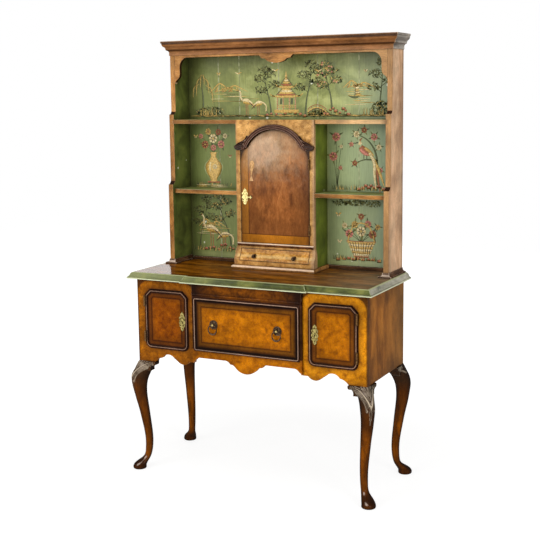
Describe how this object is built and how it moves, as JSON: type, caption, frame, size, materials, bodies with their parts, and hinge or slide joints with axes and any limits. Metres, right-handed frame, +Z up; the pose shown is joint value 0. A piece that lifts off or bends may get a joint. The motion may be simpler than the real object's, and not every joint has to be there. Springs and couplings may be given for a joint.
{
  "type": "dresser",
  "caption": "Queen Anne style dresser: cabriole-legged base with drawer and side cupboards under a shelved hutch with an arched centre cupboard.",
  "frame": {"origin": "on the floor, under the middle of the whole dresser's box", "axes": "+Z up, the front faces -Y, +X to the right as seen from the front"},
  "size_m": [1.1788, 0.5174, 1.926],
  "materials": {
    "polished_walnut": "dark polished walnut, hand rubbed",
    "burr_walnut": "burr walnut veneer, French polished",
    "walnut_board": "straight-grained walnut, waxed",
    "green_paint": "old green oil paint on board, worn",
    "mahogany": "figured mahogany veneer, polished",
    "oak": "oak, unfinished",
    "brass": "cast and pierced brass, aged",
    "steel": "iron and steel, dull"
  },
  "bodies": {
    "root": {"back_left_leg": "polished_walnut", "back_right_leg": "polished_walnut", "base_back": "oak", "base_bottom": "oak", "base_left_side": "walnut_board", "base_right_side": "walnut_board", "cornice": "walnut_board", "cupboard_face": "burr_walnut", "cupboard_floor": "oak", "cupboard_hood": "walnut_board", "cupboard_plinth": "walnut_board", "cupboard_sides": "green_paint", "drawer_runners": "oak", "fixing_plates": "steel", "fixing_screws": "steel", "foot_mouldings": "walnut_board", "frame_leaves_and_pins": "brass", "frieze": "walnut_board", "front_left_leg": "polished_walnut", "front_right_leg": "polished_walnut", "hutch_back_planks": "green_paint", "hutch_left_side": "walnut_board", "hutch_right_side": "walnut_board", "hutch_top": "oak", "knee_blocks": "polished_walnut", "left_bay_front": "burr_walnut", "lower_shelves": "walnut_board", "middle_apron": "burr_walnut", "middle_frieze": "burr_walnut", "partitions": "oak", "right_bay_front": "burr_walnut", "upper_shelf": "walnut_board", "worktop": "walnut_board", "worktop_edge": "green_paint"},
    "right_door": {"right_door": "burr_walnut", "right_door_escutcheon": "brass", "right_door_lock": "steel", "right_door_leaves": "brass"},
    "left_door": {"left_door": "burr_walnut", "left_door_escutcheon": "brass", "left_door_lock": "steel", "left_door_leaves": "brass"},
    "right_bolt": {"right_door_bolt": "steel"},
    "left_bolt": {"left_door_bolt": "steel"},
    "middle_drawer": {"drawer_front": "burr_walnut", "drawer_box": "oak", "drawer_bottom": "oak", "pull_rosettes": "brass", "pull_posts": "brass"},
    "right_ring": {"right_ring_pull": "brass"},
    "left_ring": {"left_ring_pull": "brass"},
    "cupboard_door": {"cupboard_door": "mahogany", "cupboard_escutcheon": "brass", "cupboard_lock": "steel", "cupboard_door_leaves": "brass"},
    "cupboard_bolt": {"cupboard_bolt": "steel"},
    "key": {"cupboard_key": "brass"},
    "small_drawer": {"small_drawer_front": "burr_walnut", "small_drawer_box": "oak", "small_drawer_knobs": "brass"}
  },
  "joints": [
    {"name": "right_door_swing", "type": "hinge", "parent": "root", "child": "right_door", "pos_m": [0.507, -0.21942, 0.7], "axis": [0, 0, 1], "range_deg": [0, 105]},
    {"name": "left_door_swing", "type": "hinge", "parent": "root", "child": "left_door", "pos_m": [-0.507, -0.21942, 0.7], "axis": [0, 0, -1], "range_deg": [0, 105]},
    {"name": "right_bolt_throw", "type": "slide", "parent": "right_door", "child": "right_bolt", "axis": [-1, 0, 0], "range_m": [0, 0.007]},
    {"name": "left_bolt_throw", "type": "slide", "parent": "left_door", "child": "left_bolt", "axis": [1, 0, 0], "range_m": [0, 0.007]},
    {"name": "middle_drawer_slide", "type": "slide", "parent": "root", "child": "middle_drawer", "axis": [0, -1, 0], "range_m": [0, 0.3]},
    {"name": "right_ring_swing", "type": "hinge", "parent": "middle_drawer", "child": "right_ring", "pos_m": [0.153, -0.23542, 0.7042], "axis": [-1, 0, 0], "range_deg": [0, 100]},
    {"name": "left_ring_swing", "type": "hinge", "parent": "middle_drawer", "child": "left_ring", "pos_m": [-0.153, -0.23542, 0.7042], "axis": [-1, 0, 0], "range_deg": [0, 100]},
    {"name": "cupboard_door_swing", "type": "hinge", "parent": "root", "child": "cupboard_door", "pos_m": [0.169, 0.06708, 1.236], "axis": [0, 0, 1], "range_deg": [0, 110]},
    {"name": "cupboard_bolt_throw", "type": "slide", "parent": "cupboard_door", "child": "cupboard_bolt", "axis": [-1, 0, 0], "range_m": [0, 0.007]},
    {"name": "key_turn", "type": "hinge", "parent": "cupboard_door", "child": "key", "pos_m": [-0.148, 0.06708, 1.22972], "axis": [0, 1, 0], "range_deg": [0, 90]},
    {"name": "small_drawer_slide", "type": "slide", "parent": "root", "child": "small_drawer", "axis": [0, -1, 0], "range_m": [0, 0.095]}
  ],
  "couplings": [
    {"joint": "cupboard_bolt_throw", "follows": "key_turn", "m_per_rad": 0.00445}
  ]
}
